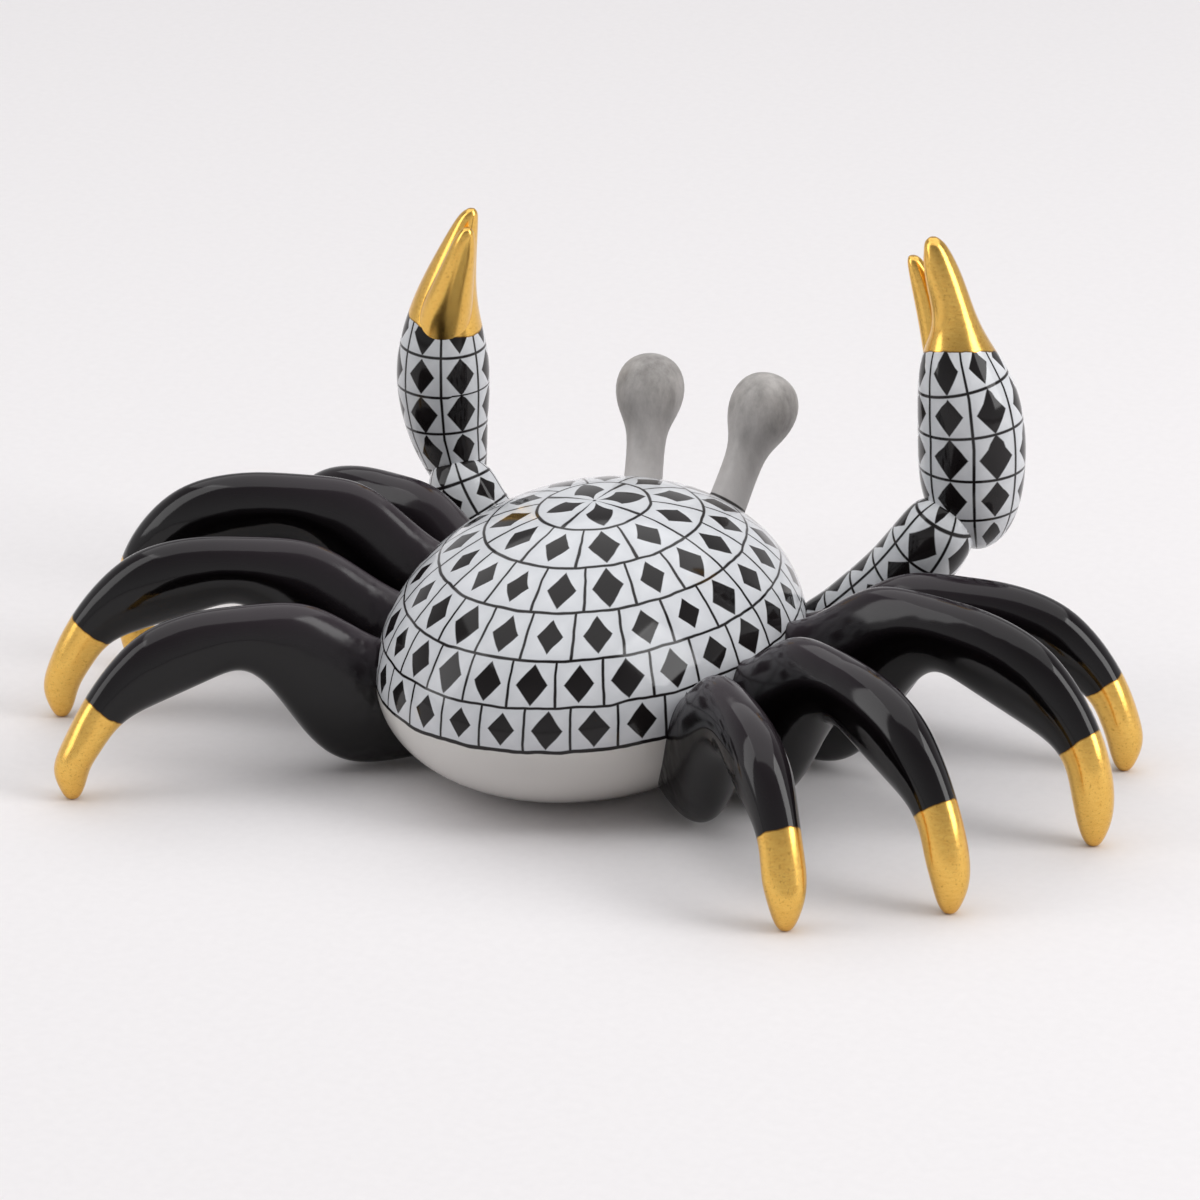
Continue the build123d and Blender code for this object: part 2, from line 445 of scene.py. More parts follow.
    def edge_line(self, bench: Bench, place: Node, mask: Node) -> tuple[Node, Node]:
        """Keeps the pattern above the body's widest line, and draws that line.

        Args:
            bench: the material's nodes.
            place: object coordinates, with the brush's wobble.
            mask: the pattern's ink.

        Returns:
            The ink of pattern and line, and a mask of what lies above the line.
        """
        parts = bench.add("SeparateXYZ", {0: place})
        above, off = (bench.add("Math", {0: parts.outputs[2], 1: BODY.edge_height * MM}, operation=operation)
                      for operation in ("GREATER_THAN", "SUBTRACT"))
        kept = bench.add("Math", {0: mask, 1: above}, operation="MULTIPLY")
        apart = bench.add("Math", {0: off}, operation="ABSOLUTE")
        line = bench.add("MapRange", {"Value": apart, "From Min": self.line * MM,
                                      "From Max": (self.line + self.edge_blur) * MM, "To Min": 1.0,
                                      "To Max": 0.0})
        return bench.add("Math", {0: kept, 1: line}, operation="MAXIMUM"), above

    def material(self) -> Material:
        """Makes the material."""
        bench = self.blank()
        brush = bench.add("TexNoise", {"Vector": bench.place, "Scale": 1 / (self.brush_length * MM),
                                       "Detail": 2.0})
        sway = bench.add("VectorMath", {0: brush.outputs["Color"], 1: (0.5, 0.5, 0.5)}, operation="SUBTRACT")
        place = bench.add("VectorMath", {0: sway, 1: [self.brush_wobble * MM] * 3, 2: bench.place},
                          operation="MULTIPLY_ADD")
        turn, climb, count = self.dome_place(bench, place) if self.rings else self.limb_place(bench)
        mask, nearest = self.ink_mask(bench, turn, climb, count)
        shade = bench.add("MapRange", {"Value": nearest, "From Max": self.wash_reach,
                                       "To Min": self.wash_strength, "To Max": 0.0})
        paper = bench.add("Mix", {0: shade, 6: self.white, 7: self.wash}, data_type="RGBA")
        if self.rings:
            mask, above = self.edge_line(bench, place, mask)
            # Below the widest line the glaze has no pattern and a warmer white: painted bounce light from the
            # table.
            paper = bench.add("Mix", {0: above, 6: self.bowl, 7: paper}, data_type="RGBA")
        pigment = bench.add("Mix", {0: brush, 6: self.ink, 7: self.thin_ink}, data_type="RGBA")
        tone = bench.add("Mix", {0: mask, 6: paper, 7: pigment}, data_type="RGBA")
        look = {"Roughness": self.roughness, "Specular IOR Level": self.specular}
        if self.gilding:
            gilt, gold, satin = self.gilding.coat(bench)
            tone = bench.add("Mix", {0: gilt, 6: tone, 7: gold}, data_type="RGBA")
            look["Roughness"] = bench.add("Mix", {0: gilt, 2: self.roughness, 3: satin})
            look["Metallic"] = gilt
        return bench.done({"Base Color": tone, **look})


@dataclass(frozen=True)
class GoldFinger(Finish):
    """The small finger, gilded all over: the same burnished gold as the toes."""

    name: str = "burnished_gold"
    gilding: Gilding = field(default_factory=Gilding)

    def material(self) -> Material:
        """Makes the material."""
        bench = self.blank()
        _, gold, satin = self.gilding.coat(bench)
        return bench.done({"Base Color": gold, "Roughness": satin, "Metallic": 1.0})


@dataclass(frozen=True)
class EyeWash(Finish):
    """Grey wash laid with a brush on unglazed porcelain: matt, cloudy, with a brush line at the foot of the
    stalk, and painted light that turns the stalk paler towards its foot.
    """

    name: str = "grey_wash_on_bisque"
    dark: str = "#8C8885"
    pale: str = "#C6C2BF"
    # Painted light: a paler grey towards the stalk's foot, lifting the shade that the ball casts on it.
    foot: str = "#D8D4D2"
    ink: str = "#3A3634"
    cloud: float = 2.4
    cloud_span: Pair = (0.3, 0.7)
    stroke: Triple = (1.0, 1.0, 0.45)
    stalk_light_reach: float = 0.5
    stalk_light_strength: float = 0.75
    grain: float = 0.5
    grain_height: float = 0.1
    grain_strength: float = 0.25
    roughness: float = 0.5
    line: float = 0.22
    line_fade: float = 1.4

    def material(self) -> Material:
        """Makes the material."""
        bench = self.blank()
        stroke = bench.add("Mapping", {"Vector": bench.place, "Scale": self.stroke})
        cloud = bench.add("TexNoise", {"Vector": stroke, "Scale": 1 / (self.cloud * MM), "Detail": 5.0,
                                       "Roughness": 0.65})
        low, high = self.cloud_span
        level = bench.add("MapRange", {"Value": cloud, "From Min": low, "From Max": high})
        grey = bench.add("Mix", {0: level, 6: self.dark, 7: self.pale}, data_type="RGBA")
        out = bench.add("VectorMath", {0: self.dome_unit(bench, bench.place)}, operation="LENGTH")
        # Painted light: the stalk turns paler towards its foot, in place of light under the shading ball.
        painted_stalk_light = bench.add("MapRange", {"Value": out, "From Min": 1.0, "From Max": 1.0 + self.stalk_light_reach,
                                       "To Min": self.stalk_light_strength, "To Max": 0.0})
        grey_and_stalk_light = bench.add("Mix", {0: painted_stalk_light, 6: grey, 7: self.foot}, data_type="RGBA")
        rise = self.line / BODY.dome_height
        line = bench.add("MapRange", {"Value": out, "From Min": 1.0 + rise,
                                      "From Max": 1.0 + self.line_fade * rise, "To Min": 1.0, "To Max": 0.0})
        tone = bench.add("Mix", {0: line, 6: grey_and_stalk_light, 7: self.ink}, data_type="RGBA")
        grain = bench.add("TexNoise", {"Vector": bench.place, "Scale": 1 / (self.grain * MM), "Detail": 3.0})
        bump = bench.add("Bump", {"Strength": self.grain_strength, "Distance": self.grain_height * MM,
                                  "Height": grain})
        return bench.done({"Base Color": tone, "Normal": bump, "Roughness": self.roughness})


@dataclass(frozen=True)
class BareFoot(Finish):
    """Unglazed porcelain under the foot: dry, fine-grained white."""

    name: str = "unglazed_porcelain"
    tone: str = "#DEDBD5"
    shade: str = "#CFCBC4"
    grain: float = 0.4
    roughness: float = 0.8

    def material(self) -> Material:
        """Makes the material."""
        bench = self.blank()
        grain = bench.add("TexNoise", {"Vector": bench.place, "Scale": 1 / (self.grain * MM), "Detail": 3.0})
        tone = bench.add("Mix", {0: grain, 6: self.shade, 7: self.tone}, data_type="RGBA")
        return bench.done({"Base Color": tone, "Roughness": self.roughness})


@dataclass(frozen=True)
class TablePaper(Finish):
    """Pale paper on the table: one tone as it looks, also in shiny things, and a darker one as it lights."""

    name: str = "table_paper"
    tone: str = "#F4F1F2"
    shade: str = "#EEEBEC"
    bounce: str = "#CFCCCD"
    fibre: float = 1.2
    roughness: float = 0.9

    def material(self) -> Material:
        """Makes the material."""
        bench = self.blank()
        fibre = bench.add("TexNoise", {"Vector": bench.place, "Scale": 1 / (self.fibre * MM), "Detail": 4.0})
        tone = bench.add("Mix", {0: fibre, 6: self.shade, 7: self.tone}, data_type="RGBA")
        path = bench.add("LightPath")
        shown = path.outputs["Is Camera Ray"]
        for ray in ("Is Glossy Ray", "Is Transmission Ray"):
            shown = bench.add("Math", {0: shown, 1: path.outputs[ray]}, operation="MAXIMUM")
        pale = bench.add("Mix", {0: shown, 6: self.bounce, 7: tone}, data_type="RGBA")
        return bench.done({"Base Color": pale, "Roughness": self.roughness})


@dataclass(frozen=True)
class Station:
    """One section of a limb, in millimetres: its centre, tilt about Y, half sizes and turn about Z."""

    centre: Triple
    tilt: float
    half_width: float
    half_height: float
    yaw: float = 0.0


def smooth_rows(rows: list[Row]) -> list[Row]:
    """Puts one more row between each two, on a smooth curve through four neighbours.

    Args:
        rows: rows of numbers of one length.

    Returns:
        The rows with the new ones between them.
    """
    dense = [rows[0]]
    for i in range(1, len(rows)):
        before = rows[max(i - 2, 0)]
        after = rows[min(i + 1, len(rows) - 1)]
        near = zip(before, rows[i - 1], rows[i], after)
        dense.append(tuple((9 * (b + c) - a - d) / 16 for a, b, c, d in near))
        dense.append(rows[i])
    return dense


def soften(rows: list[Row], passes: int) -> list[Row]:
    """Rounds off kinks: each row goes half-way to the mean of its neighbours, several times.

    Args:
        rows: rows of numbers of one length.
        passes: how many times.

    Returns:
        The rows, with the first and last as they were.
    """
    for _ in range(passes):
        triples = zip(rows, rows[1:], rows[2:])
        inner = [tuple((a + 2 * b + c) / 4 for a, b, c in zip(*three)) for three in triples]
        rows = [rows[0], *inner, rows[-1]]
    return rows


def turn(angle: float, axis: str, centre: Vector) -> None:
    """Turns what is selected about an axis through a centre, in radians by the right-hand rule."""
    bpy.ops.transform.rotate(value=-angle, orient_axis=axis, center_override=centre)


def pick(piece: Object) -> None:
    """Selects one piece and nothing else."""
    bpy.ops.object.select_all(action="DESELECT")
    piece.select_set(True)
    bpy.context.view_layer.objects.active = piece


def draw_out(name: str, stations: list[Station], corners: int) -> Object:
    """Draws a limb out of a filled circle, section by section, and rounds it off.

    Args:
        name: name of the piece.
        stations: its sections in order.
        corners: corners of a section.

    Returns:
        The closed piece, in millimetres.
    """
    bpy.ops.object.select_all(action="DESELECT")
    bpy.ops.mesh.primitive_circle_add(vertices=corners, radius=1.0, fill_type="NGON",
                                      rotation=(0.0, math.pi / 2, 0.0))
    piece = bpy.context.object
    piece.name = piece.data.name = name
    bpy.ops.object.transform_apply(location=False, rotation=True, scale=False)
    bpy.ops.object.mode_set(mode="EDIT")
    bpy.ops.mesh.select_all(action="SELECT")
    first = stations[0]
    bpy.ops.transform.resize(value=(1.0, first.half_width, first.half_height))
    turn(first.tilt, "Y", ORIGIN)
    turn(first.yaw, "Z", ORIGIN)
    bpy.ops.transform.translate(value=first.centre)
    for before, after in zip(stations, stations[1:]):
        centre = Vector(after.centre)
        step = centre - Vector(before.centre)
        bpy.ops.mesh.extrude_region_move(TRANSFORM_OT_translate={"value": step})
        turn(-before.yaw, "Z", centre)
        turn(-before.tilt, "Y", centre)
        grow = (1.0, after.half_width / before.half_width, after.half_height / before.half_height)
        bpy.ops.transform.resize(value=grow, center_override=centre)
        turn(after.tilt, "Y", centre)
        turn(after.yaw, "Z", centre)
    bpy.ops.mesh.select_all(action="SELECT")
    bpy.ops.mesh.normals_make_consistent(inside=False)
    bpy.ops.object.mode_set(mode="OBJECT")
    apply_modifier(piece, "SUBSURF", levels=1, render_levels=1)
    return piece


def apply_modifier(piece: Object, kind: str, **settings: Any) -> None:
    """Adds a modifier and applies it.

    Args:
        piece: object to change.
        kind: the modifier's type.
        settings: the modifier's properties.
    """
    pick(piece)
    modifier = piece.modifiers.new(kind.lower(), kind)
    for key, value in settings.items():
        setattr(modifier, key, value)
    bpy.ops.object.modifier_apply(modifier=modifier.name)


def settle(piece: Object, place: Matrix | None = None) -> None:
    """Puts a piece drawn in millimetres into its place in metres, and applies that.

    Args:
        piece: object to place.
        place: its place in millimetres, or none if it is drawn there.
    """
    pick(piece)
    piece.matrix_world = Matrix.Scale(MM, 4) @ (place or Matrix.Identity(4))
    bpy.ops.object.transform_apply(location=True, rotation=True, scale=True)


def cut_by(piece: Object, cutter: Object) -> None:
    """Takes a closed cutter away from a piece, so that it ends at the cutter's surface."""
    apply_modifier(piece, "BOOLEAN", operation="DIFFERENCE", object=cutter, solver="EXACT")


def dress(piece: Object, node: str, material: Material) -> None:
    """Gives a finished piece its material and its place in the frame.

    Args:
        piece: finished object.
        node: CAD node that it stands for.
        material: its finish.
    """
    pick(piece)
    bpy.ops.object.shade_smooth_by_angle(angle=SMOOTH_ANGLE)
    piece.data.materials.clear()
    piece.data.materials.append(material)
    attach(piece, BODY_NAME)
    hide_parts(node)
    log.info("%s: %d faces", piece.name, len(piece.data.polygons))


def set_values(piece: Object, name: str, values: list[float]) -> None:
    """Stores one number per vertex under the name of an attribute."""
    attribute = piece.data.attributes.new(name, "FLOAT", "POINT")
    attribute.data.foreach_set("value", values)


def set_place(piece: Object, centres: list[Vector]) -> None:
    """Stores each vertex's turn round a limb and its way along it.

    Args:
        piece: limb in metres.
        centres: points of the limb's line, in millimetres.
    """
    lengths = [0.0]
    for a, b in zip(centres, centres[1:]):
        lengths.append(lengths[-1] + (b - a).length)
    values = []
    for vertex in piece.data.vertices:
        point = vertex.co / MM
        best = None
        for i, (a, b) in enumerate(zip(centres, centres[1:])):
            share = min(max((point - a).dot(b - a) / (b - a).length_squared, 0.0), 1.0)
            off = point - a.lerp(b, share)
            if best is None or off.length < best[0]:
                best = (off.length, lengths[i] + share * (b - a).length, off, (b - a).normalized())
        _, along, off, line = best
        across = Vector((0.0, 1.0, 0.0))
        up = across.cross(line).normalized()
        angle = math.atan2(off.dot(up), off.dot(across))
        values += [math.cos(angle), math.sin(angle), along]
    attribute = piece.data.attributes.new("place", "FLOAT_VECTOR", "POINT")
    attribute.data.foreach_set("vector", values)


@dataclass
class Shell:
    """The hollow body, with its flat unglazed foot and the vent of the casting."""

    form: BodyForm = field(default_factory=BodyForm)
    segments: int = 128
    rings: int = 64
    vent_corners: int = 48
    below_edge: float = 1e-4
    foot_level: float = 0.05

    def solid(self, name: str, shrink: float) -> Object:
        """Models the body's outline out of a ball.

        Args:
            name: name of the object.
            shrink: how much smaller it is all round, in millimetres.

        Returns:
            A closed object, in millimetres.
        """
        form = self.form
        bpy.ops.object.select_all(action="DESELECT")
        bpy.ops.mesh.primitive_uv_sphere_add(segments=self.segments, ring_count=self.rings, radius=1.0)
        piece = bpy.context.object
        piece.name = piece.data.name = name
        bpy.ops.object.mode_set(mode="EDIT")
        bpy.ops.mesh.select_mode(type="VERT")
        bpy.ops.mesh.select_all(action="DESELECT")
        bpy.ops.object.mode_set(mode="OBJECT")
        for vertex in piece.data.vertices:
            vertex.select = vertex.co.z < -self.below_edge
        bpy.ops.object.mode_set(mode="EDIT")
        belly_share = (form.belly - shrink) / (form.dome_height - shrink)
        bpy.ops.transform.resize(value=(1.0, 1.0, belly_share), center_override=ORIGIN)
        bpy.ops.mesh.select_all(action="SELECT")
        sizes = (form.half_width - shrink, form.half_length - shrink, form.dome_height - shrink)
        bpy.ops.transform.resize(value=sizes, center_override=ORIGIN)
        bpy.ops.transform.translate(value=(0.0, 0.0, form.edge_height))
        bpy.ops.mesh.bisect(plane_co=(0.0, 0.0, shrink), plane_no=(0.0, 0.0, 1.0), use_fill=True,
                            clear_inner=True)
        bpy.ops.object.mode_set(mode="OBJECT")
        return piece

    def build(self, material: Material, foot: Material) -> Object:
        """Models the body with its wall and vent, and dresses it.

        Args:
            material: painted glaze.
            foot: bare porcelain of the foot.

        Returns:
            The body.
        """
        form = self.form
        piece = self.solid("body_shell_porcelain", 0.0)
        hollow = self.solid("hollow", form.wall)
        bpy.ops.object.select_all(action="DESELECT")
        bpy.ops.mesh.primitive_cylinder_add(vertices=self.vent_corners, radius=form.vent_radius,
                                            depth=4 * form.wall, location=(0.0, form.vent_setback, 0.0))
        for tool in (hollow, bpy.context.object):
            cut_by(piece, tool)
            bpy.data.objects.remove(tool)
        settle(piece)
        dress(piece, "body_shell", material)
        piece.data.materials.append(foot)
        for face in piece.data.polygons:
            if face.center.z < self.foot_level * MM:
                face.material_index = 1
        return piece


@dataclass(frozen=True)
class Pose:
    """How one leg stands: root on the body in shares of its half sizes, way to the toe, height, knee push."""

    root: Pair
    toe: Pair
    height: float
    knee: float


@dataclass
class Leg:
    """One leg: a tall lobe against the belly, an arch over the knee and a gilded toe on the table."""

    side: Side
    pair: int
    pose: Pose
    corners: int = 32
    sections: tuple[tuple[Pair, Pair, float, float], ...] = (
        ((-0.28, 0.56), (-0.28, 0.12), 3.0, 0.0),
        ((-0.10, 0.58), (-0.10, 0.06), 3.6, 0.0),
        ((0.08, 0.655), (0.10, 0.02), 3.9, 0.0),
        ((0.19, 0.79), (0.23, 0.04), 3.9, 0.0),
        ((0.28, 0.90), (0.33, 0.20), 3.7, 0.0),
        ((0.37, 0.95), (0.42, 0.475), 3.3, 0.0),
        ((0.50, 0.95), (0.51, 0.63), 2.9, 0.1),
        ((0.62, 0.95), (0.60, 0.585), 3.0, 0.3),
        ((0.74, 0.91), (0.70, 0.525), 3.1, 0.6),
        ((0.86, 0.81), (0.79, 0.47), 3.0, 0.9),
        ((0.985, 0.54), (0.885, 0.40), 2.25, 1.0),
        ((1.035, 0.30), (0.925, 0.265), 2.55, 0.5),
    )
    toe_sections: tuple[Pair, ...] = ((3.8, 2.15), (1.6, 1.55), (0.4, 1.0), (0.0, 0.6))
    gilt_row: int = 10
    soft_passes: int = 6

    @property
    def name(self) -> str:
        """The CAD node's name."""
        return f"leg_{self.side.word}_{self.pair}"

    def rows(self) -> tuple[list[Row], Matrix]:
        """Works out the leg's sections in its own plane.

        Returns:
            Rows of upper end, lower end and half width, and the leg's place on the body.
        """
        pose = self.pose
        sign = self.side.value
        start = Vector((sign * pose.root[0] * BODY.half_width, pose.root[1] * BODY.half_length, 0.0))
        way = Vector((sign * pose.toe[0], pose.toe[1], 0.0))
        reach = way.length
        rows = []
        for upper, lower, half_width, push in self.sections:
            out = push * pose.knee * reach
            rows.append((upper[0] * reach + out, upper[1] * pose.height,
                         lower[0] * reach + out, lower[1] * pose.height, half_width))
        for level, radius in self.toe_sections:
            rows.append((reach + radius, level, reach - radius, level, radius))
        place = Matrix.Translation(start) @ Matrix.Rotation(math.atan2(way.y, way.x), 4, "Z")
        return rows, place

    def build(self, seat: Object, material: Material) -> Object:
        """Draws the leg, cuts it to the body and dresses it.

        Args:
            seat: the body's outline, to cut by.
            material: black glaze with gilded toes.

        Returns:
            The leg.
        """
        rows, place = self.rows()
        stations = []
        dense = soften(smooth_rows(smooth_rows(rows)), self.soft_passes)
        for top_x, top_z, low_x, low_z, half_width in dense:
            rise = Vector((top_x - low_x, 0.0, top_z - low_z))
            centre = ((top_x + low_x) / 2, 0.0, (top_z + low_z) / 2)
            stations.append(Station(centre, math.atan2(rise.x, rise.z), half_width, rise.length / 2))
        piece = draw_out(f"{self.name}_porcelain", stations, self.corners)
        top_x, top_z, low_x, low_z, _ = rows[self.gilt_row]
        edge = Vector((low_x, 0.0, low_z))
        across = Vector((top_z - low_z, 0.0, low_x - top_x)).normalized()
        settle(piece, place)
        cut_by(piece, seat)
        back = (Matrix.Scale(MM, 4) @ place).inverted()
        set_values(piece, "gilt_mm", [(back @ v.co - edge).dot(across) for v in piece.data.vertices])
        # How far each vertex faces up, which places the black glaze's painted sheen.
        set_values(piece, "faces_up", [v.normal.z for v in piece.data.vertices])
        dress(piece, self.name, material)
        return piece


@dataclass
class Claw:
    """A raised claw: forearm, palm with its large gilded finger, and the small gilded finger."""

    side: Side
    arm: tuple[Ring, ...]
    hand: tuple[Ring, ...]
    finger: tuple[Ring, ...]
    gilt_level: float
    gilt_slope: Pair
    gilt_ring: int = 6
    shoulder: Pair = (0.487, -0.633)
    corners: int = 32
    soft_passes: int = 3
    thinnest: float = 0.2

    def rows(self, rings: tuple[Ring, ...]) -> list[Row]:
        """Places rings that are counted from the shoulder.

        Args:
            rings: offsets outwards, backwards and up from the table, with radii, in millimetres.

        Returns:
            Rows of centre and radius.
        """
        x0 = self.shoulder[0] * BODY.half_width
        y0 = self.shoulder[1] * BODY.half_length
        return [(self.side.value * (x0 + out), y0 + back, up, radius) for (out, back, up), radius in rings]

    def level_limb(self, name: str, rings: tuple[Ring, ...], shrink: float = 0.0) -> Object:
        """Draws a limb of level round sections.

        Args:
            name: name of the object.
            rings: its sections, counted from the shoulder.
            shrink: how much thinner it is, in millimetres.

        Returns:
            The closed limb, in metres and in place.
        """
        stations = []
        for x, y, z, radius in soften(smooth_rows(smooth_rows(self.rows(rings))), self.soft_passes):
            size = max(radius - shrink, self.thinnest)
            stations.append(Station((x, y, z), -math.pi / 2, size, size))
        piece = draw_out(name, stations, self.corners)
        settle(piece)
        return piece

    def gilt(self, piece: Object, level: float) -> None:
        """Stores how far each vertex lies above the gold's lower edge.

        Args:
            piece: limb in metres.
            level: height of that edge at the palm's middle, in millimetres.
        """
        x0, y0, _, _ = self.rows(self.hand)[self.gilt_ring]
        values = []
        for vertex in piece.data.vertices:
            x, y, z = vertex.co / MM
            values.append(z - level - self.gilt_slope[0] * (x - x0) - self.gilt_slope[1] * (y - y0))
        set_values(piece, "gilt_mm", values)

    def build(self, seat: Object, arm_glaze: Material, hand_glaze: Material,
              gold: Material) -> None:
        """Draws the three pieces, cuts them to each other and dresses them.

        Args:
            seat: the body's outline, to cut by.
            arm_glaze: painted glaze of the forearm.
            hand_glaze: painted glaze of the palm, with the gilded finger.
            gold: finish of the small finger.
        """
        word = self.side.word
        hand = self.level_limb(f"hand_{word}_porcelain", self.hand)
        core = self.level_limb("hand_core", self.hand, shrink=PALM_DEPTH)
        finger = self.level_limb(f"finger_{word}_porcelain", self.finger)
        cut_by(finger, core)
        self.gilt(finger, 0.0)
        arm, centres = self.forearm(f"arm_{word}_porcelain")
        cut_by(arm, seat)
        cut_by(arm, core)
        bpy.data.objects.remove(core)
        set_place(arm, centres)
        set_place(hand, [Vector(row[:3]) for row in self.rows(self.hand)])
        self.gilt(hand, self.gilt_level)
        dress(hand, f"hand_{word}", hand_glaze)
        dress(finger, f"finger_{word}", gold)
        dress(arm, f"arm_{word}", arm_glaze)

    def forearm(self, name: str) -> tuple[Object, list[Vector]]:
        """Draws the forearm, its sections square to its own line.

        Args:
            name: name of the object.

        Returns:
            The forearm in metres, and the points of its line in millimetres.
        """
        rows = smooth_rows(smooth_rows(self.rows(self.arm)))
        centres = [Vector(row[:3]) for row in rows]
        stations = []
        for i, (x, y, z, radius) in enumerate(rows):
            line = centres[min(i + 1, len(rows) - 1)] - centres[max(i - 1, 0)]
            tilt = -math.atan2(line.z, line.xy.length)
            stations.append(Station((x, y, z), tilt, radius, radius, math.atan2(line.y, line.x)))
        piece = draw_out(name, stations, self.corners)
        settle(piece)
        return piece, centres


@dataclass
class Eye:
    """An eye ball that runs down smoothly into its stalk."""

    side: Side
    seat: Pair = (0.24, -0.767)
    lean: Triple = (1.7, -5.2, 9.5)
    profile: tuple[Pair, ...] = (
        (-4.0, 2.3), (-1.0, 2.3), (1.5, 2.25), (4.0, 2.2), (6.2, 2.3), (7.6, 2.75), (8.8, 3.35), (10.2, 3.88),
        (11.8, 4.1), (13.3, 3.85), (14.5, 3.2), (15.3, 2.3), (15.75, 1.2), (15.88, 0.4))
    corners: int = 24

    def build(self, seat: Object, material: Material) -> Object:
        """Draws the eye along its leaning axis, cuts it to the dome and dresses it.

        Args:
            seat: the body's outline, to cut by.
            material: grey wash.

        Returns:
            The eye.
        """
        word = self.side.word
        stations = [Station((0.0, 0.0, z), -math.pi / 2, radius, radius) for z, radius in self.profile]
        piece = draw_out(f"eye_{word}_porcelain", stations, self.corners)
        x, y = self.seat
        rise = math.sqrt(1 - x**2 - y**2)
        foot = Vector((self.side.value * x * BODY.half_width, y * BODY.half_length,
                       BODY.edge_height + BODY.dome_height * rise))
        way = Vector((self.side.value * self.lean[0], self.lean[1], self.lean[2]))
        settle(piece, Matrix.Translation(foot) @ way.to_track_quat("Z", "Y").to_matrix().to_4x4())
        cut_by(piece, seat)
        dress(piece, f"eye_{word}", material)
        return piece


LEG_POSES: dict[Side, tuple[Pose, ...]] = {
    Side.LEFT: (
        Pose((0.80, -0.48), (34.6, -5.6), 21.5, 0.0),
        Pose((0.84, -0.22), (38.5, 10.8), 26.5, 0.06),
        Pose((0.80, 0.12), (39.6, 17.2), 23.4, -0.02),
        Pose((0.66, 0.45), (29.4, 26.5), 21.7, -0.03),
    ),
    Side.RIGHT: (
        Pose((0.80, -0.48), (38.3, -5.4), 21.6, 0.0),
        Pose((0.84, -0.22), (42.0, 7.2), 25.0, 0.02),
        Pose((0.80, 0.12), (35.9, 19.8), 23.7, 0.0),
        Pose((0.74, 0.39), (23.6, 23.4), 21.6, 0.0),
    ),
}

CLAWS: tuple[Claw, ...] = (
    Claw(
        Side.RIGHT,
        arm=(((-1.0, -0.1, 6.6), 2.4), ((2.8, -2.8, 5.3), 3.3), ((4.7, -3.6, 6.4), 3.75),
             ((6.6, -4.25, 7.9), 4.1), ((9.5, -5.0, 10.2), 4.2), ((15.2, -5.2, 15.8), 4.4),
             ((19.1, -4.9, 20.7), 4.5), ((21.1, -4.9, 24.2), 3.9), ((21.9, -5.2, 26.2), 2.2)),
        hand=(((23.6, -8.4, 20.3), 1.2), ((23.4, -8.4, 21.6), 3.2), ((23.1, -8.3, 24.4), 5.0),
              ((22.9, -8.2, 28.5), 6.0), ((22.8, -8.1, 34.0), 6.1), ((22.2, -7.9, 39.3), 5.6),
              ((21.3, -7.6, 43.3), 4.2), ((20.8, -7.5, 47.0), 2.5), ((19.2, -7.5, 51.8), 2.2),
              ((18.3, -7.5, 54.8), 1.5), ((17.9, -7.5, 55.9), 1.0), ((17.8, -7.5, 56.4), 0.35)),
        finger=(((19.2, -8.5, 39.5), 2.0), ((17.7, -9.4, 44.6), 1.9), ((16.5, -9.6, 48.0), 1.6),
                ((15.5, -9.6, 50.9), 1.3), ((14.7, -9.6, 52.7), 0.85), ((14.5, -9.6, 53.1), 0.35)),
        gilt_level=43.3,
        gilt_slope=(-0.17, 0.34),
    ),
    Claw(
        Side.LEFT,
        arm=(((1.2, -1.2, 9.2), 2.6), ((5.0, -5.0, 8.7), 3.1), ((7.3, -6.5, 8.1), 3.55),
             ((11.0, -8.5, 7.6), 4.2), ((16.6, -10.4, 9.0), 4.3), ((20.0, -10.6, 12.4), 4.3),
             ((22.0, -10.6, 15.8), 4.0), ((22.9, -10.8, 18.2), 2.4)),
        hand=(((22.8, -12.7, 12.7), 1.0), ((23.0, -12.7, 14.1), 2.6), ((23.7, -12.6, 17.1), 3.9),
              ((24.6, -12.3, 21.6), 4.9), ((24.9, -12.2, 27.1), 5.6), ((24.8, -12.0, 31.7), 5.3),
              ((24.6, -11.8, 35.5), 4.4), ((24.0, -11.8, 39.6), 3.4), ((22.6, -11.8, 44.3), 2.3),
              ((21.4, -11.8, 47.9), 1.4), ((20.9, -11.8, 49.1), 0.9), ((20.7, -11.8, 49.6), 0.35)),
        finger=(((24.3, -10.8, 33.0), 3.2), ((23.4, -10.1, 36.8), 3.2), ((21.9, -9.4, 41.1), 2.4),
                ((20.6, -9.0, 44.9), 1.7), ((19.8, -8.7, 47.6), 1.0), ((19.6, -8.7, 48.3), 0.35)),
        gilt_level=35.5,
        gilt_slope=(0.25, -0.04),
    ),
)


@dataclass(frozen=True)
class Lamp:
    """A softbox that faces the crab: its place in degrees and millimetres, its size and its watts."""

    name: str
    azimuth: float
    elevation: float
    distance: float
    size: Pair
    power: float


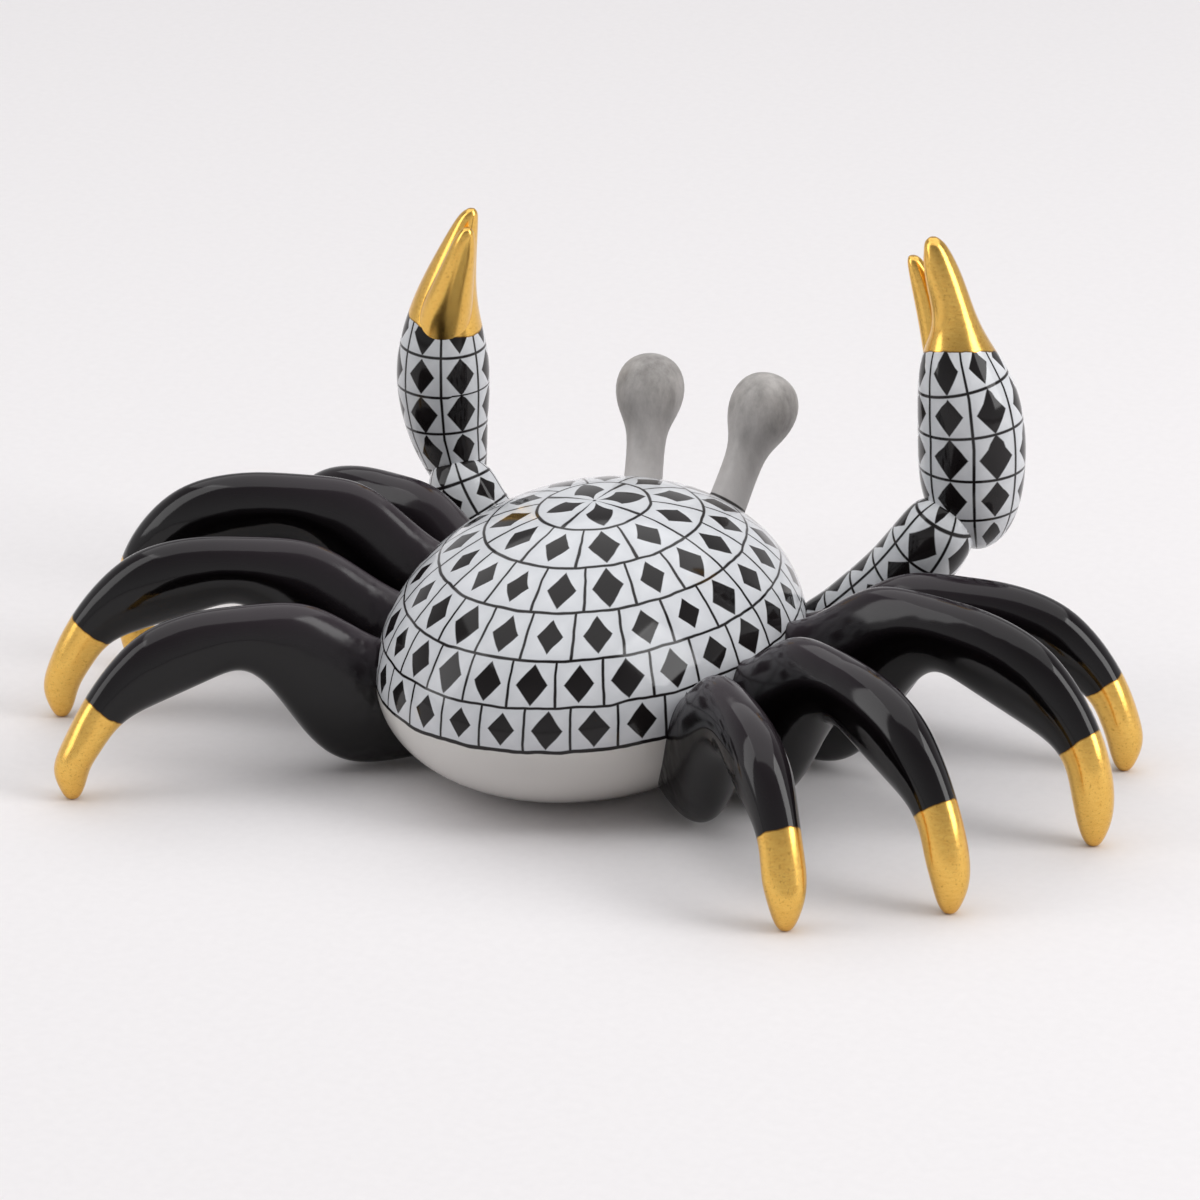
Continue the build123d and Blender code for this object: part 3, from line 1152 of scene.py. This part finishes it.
@dataclass
class Studio:
    """Pale table, soft lamps and the camera at the photograph's angle. Azimuth 0 is in front of the crab."""

    azimuth: float = 206.9
    elevation: float = 22.0
    distance: float = 620.0
    target: Triple = (-2.5, 3.46, 18.9)
    lens: float = 167.4
    sensor: float = 36.0
    clip: Pair = (0.01, 20.0)
    table_size: float = 6.0
    table_gap: float = 0.05
    room: str = "#F4F3F5"
    sky: float = 0.25
    wall: float = 0.75
    wall_span: Pair = (0.1, 0.75)
    lamps: tuple[Lamp, ...] = (
        Lamp("top_softbox", 26.9, 76.0, 900.0, (1500.0, 1500.0), 7.9),
        Lamp("right_strip", 280.0, 30.0, 700.0, (300.0, 600.0), 2.4),
        Lamp("left_strip", 124.0, 30.0, 700.0, (300.0, 600.0), 1.15),
    )

    def face_crab(self, data: Any, azimuth: float, elevation: float, distance: float) -> Object:
        """Puts a camera or a lamp round the crab, facing it.

        Args:
            data: the camera's or lamp's settings.
            azimuth: degrees, 0 in front of the crab.
            elevation: degrees above the table.
            distance: millimetres from the target.

        Returns:
            The new object.
        """
        az = math.radians(azimuth)
        el = math.radians(elevation)
        way = Vector((math.cos(el) * math.sin(az), -math.cos(el) * math.cos(az), math.sin(el)))
        thing = bpy.data.objects.new(data.name, data)
        bpy.context.scene.collection.objects.link(thing)
        thing.location = (Vector(self.target) + way * distance) * MM
        thing.rotation_euler = (-way).to_track_quat("-Z", "Y").to_euler()
        return thing

    def camera(self) -> None:
        """Sets up the camera."""
        data = bpy.data.cameras.new("camera")
        data.lens = self.lens
        data.sensor_width = self.sensor
        data.clip_start, data.clip_end = self.clip
        bpy.context.scene.camera = self.face_crab(data, self.azimuth, self.elevation, self.distance)

    def lights(self) -> None:
        """Sets up the softboxes."""
        for lamp in self.lamps:
            data = bpy.data.lights.new(lamp.name, "AREA")
            data.shape = "RECTANGLE"
            data.size, data.size_y = (side * MM for side in lamp.size)
            data.energy = lamp.power
            self.face_crab(data, lamp.azimuth, lamp.elevation, lamp.distance)

    def surroundings(self) -> None:
        """Sets up a pale room: white to the camera, with low white walls in shiny things, dim to the rest."""
        world = bpy.data.worlds.new("studio")
        bpy.context.scene.world = world
        world.use_nodes = True
        bench = Bench(world, world.node_tree.nodes["Background"])
        path = bench.add("LightPath")
        parts = bench.add("SeparateXYZ", {0: bench.add("TexCoord").outputs["Generated"]})
        low, high = self.wall_span
        wall = bench.add("MapRange", {"Value": parts.outputs[2], "From Min": low, "From Max": high,
                                      "To Min": self.wall, "To Max": self.sky})
        shiny = bench.add("Math", {0: path.outputs["Is Glossy Ray"], 1: path.outputs["Is Transmission Ray"]},
                          operation="MAXIMUM")
        level = bench.add("Mix", {0: shiny, 2: self.sky, 3: wall})
        shown = bench.add("Mix", {0: path.outputs["Is Camera Ray"], 2: level, 3: 1.0})
        bench.feed(bench.shader, {"Color": self.room, "Strength": shown})

    def build(self) -> None:
        """Sets up table, lamps, sky and camera."""
        bpy.ops.object.select_all(action="DESELECT")
        bpy.ops.mesh.primitive_plane_add(size=self.table_size, location=(0.0, 0.0, -self.table_gap * MM))
        floor = bpy.context.object
        floor.name = "table"
        floor.data.materials.append(TablePaper().material())
        self.surroundings()
        self.lights()
        self.camera()
        bpy.context.scene.view_settings.view_transform = "Standard"


def main() -> None:
    """Builds the crab, piece by piece, and the studio round it."""
    logging.basicConfig(level=logging.INFO, format="%(name)s: %(message)s")
    shell = Shell()
    shell.build(PaintedGlaze(rings=6).material(), BareFoot().material())
    seat = shell.solid("seat", SEAT_DEPTH)
    settle(seat)
    black = BlackGlaze().material()
    for side, poses in LEG_POSES.items():
        for pair, pose in enumerate(poses, start=1):
            Leg(side, pair, pose).build(seat, black)
    # The forearms and palms take the lighter white, painted light for their upright faces.
    arm_glaze = PaintedGlaze(name="white_glaze_on_forearm", white=CLAW_WHITE_PAINTED_LIGHT, fields_round=5, field_width=5.1,
                             field_height=4.6).material()
    hand_glaze = PaintedGlaze(name="white_glaze_with_gilded_finger", white=CLAW_WHITE_PAINTED_LIGHT, fields_round=7,
                              field_width=5.0, field_height=5.0, gilding=Gilding()).material()
    gold = GoldFinger().material()
    for claw in CLAWS:
        claw.build(seat, arm_glaze, hand_glaze, gold)
    wash = EyeWash().material()
    for side in Side:
        Eye(side).build(seat, wash)
    bpy.data.objects.remove(seat)
    Studio().build()


if __name__ == "__main__":
    main()
